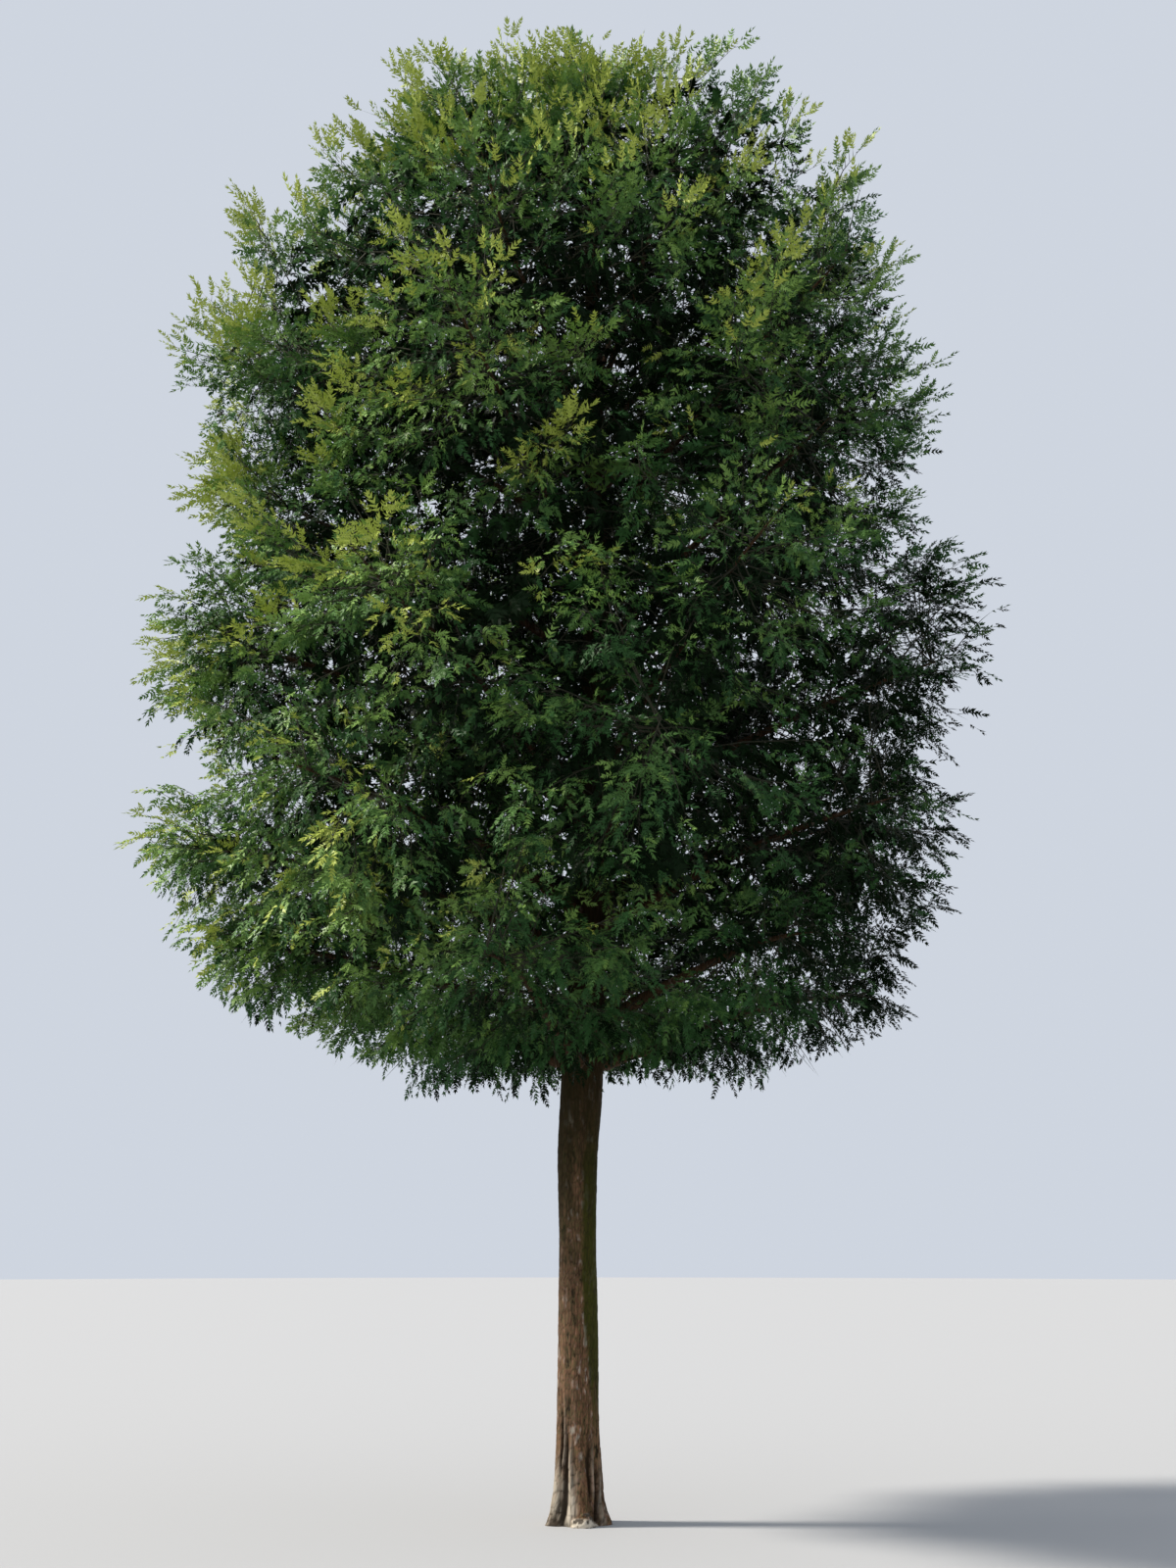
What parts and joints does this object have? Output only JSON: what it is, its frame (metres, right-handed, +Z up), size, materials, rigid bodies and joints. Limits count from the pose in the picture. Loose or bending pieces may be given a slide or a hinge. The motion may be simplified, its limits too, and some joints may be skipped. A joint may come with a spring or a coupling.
{
  "type": "yew tree",
  "caption": "Evergreen yew grown as a standard: one clear trunk with a root flare under a tall, dense, rounded crown of needled boughs.",
  "frame": {"origin": "middle of the trunk's flat cut at ground level", "axes": "+Z up the trunk, +X to the picture's right, +Y away from the picture's viewer"},
  "size_m": [5.1404, 5.0105, 9],
  "materials": {
    "bark": "rough scaling bark, red-brown under grey-brown flakes",
    "bough_bark": "rough dark brown bark",
    "needles": "satin dark green needles, yellow-green at the tips"
  },
  "bodies": {
    "root": {"bough_broad_1": "bough_bark", "bough_broad_2": "bough_bark", "bough_broad_3": "bough_bark", "bough_broad_4": "bough_bark", "bough_broad_5": "bough_bark", "bough_broad_6": "bough_bark", "bough_lower_1": "bough_bark", "bough_lower_2": "bough_bark", "bough_lower_3": "bough_bark", "bough_lower_4": "bough_bark", "bough_lower_5": "bough_bark", "bough_lower_6": "bough_bark", "bough_lower_7": "bough_bark", "bough_lowest_1": "bough_bark", "bough_lowest_2": "bough_bark", "bough_lowest_3": "bough_bark", "bough_lowest_4": "bough_bark", "bough_lowest_5": "bough_bark", "bough_lowest_6": "bough_bark", "foliage_broad_1": "needles", "foliage_broad_2": "needles", "foliage_broad_3": "needles", "foliage_broad_4": "needles", "foliage_broad_5": "needles", "foliage_broad_6": "needles", "foliage_leader": "needles", "foliage_lower_1": "needles", "foliage_lower_2": "needles", "foliage_lower_3": "needles", "foliage_lower_4": "needles", "foliage_lower_5": "needles", "foliage_lower_6": "needles", "foliage_lower_7": "needles", "foliage_lowest_1": "needles", "foliage_lowest_2": "needles", "foliage_lowest_3": "needles", "foliage_lowest_4": "needles", "foliage_lowest_5": "needles", "foliage_lowest_6": "needles", "foliage_middle_1": "needles", "foliage_middle_2": "needles", "foliage_middle_3": "needles", "foliage_middle_4": "needles", "foliage_middle_5": "needles", "foliage_shoulder_1": "needles", "foliage_shoulder_2": "needles", "foliage_shoulder_3": "needles", "foliage_shoulder_4": "needles", "foliage_shoulder_5": "needles", "foliage_top_1": "needles", "foliage_top_2": "needles", "foliage_top_3": "needles", "foliage_top_4": "needles", "foliage_upper_1": "needles", "foliage_upper_2": "needles", "foliage_upper_3": "needles", "foliage_upper_4": "needles", "foliage_upper_5": "needles", "trunk": "bark"}
  },
  "joints": []
}
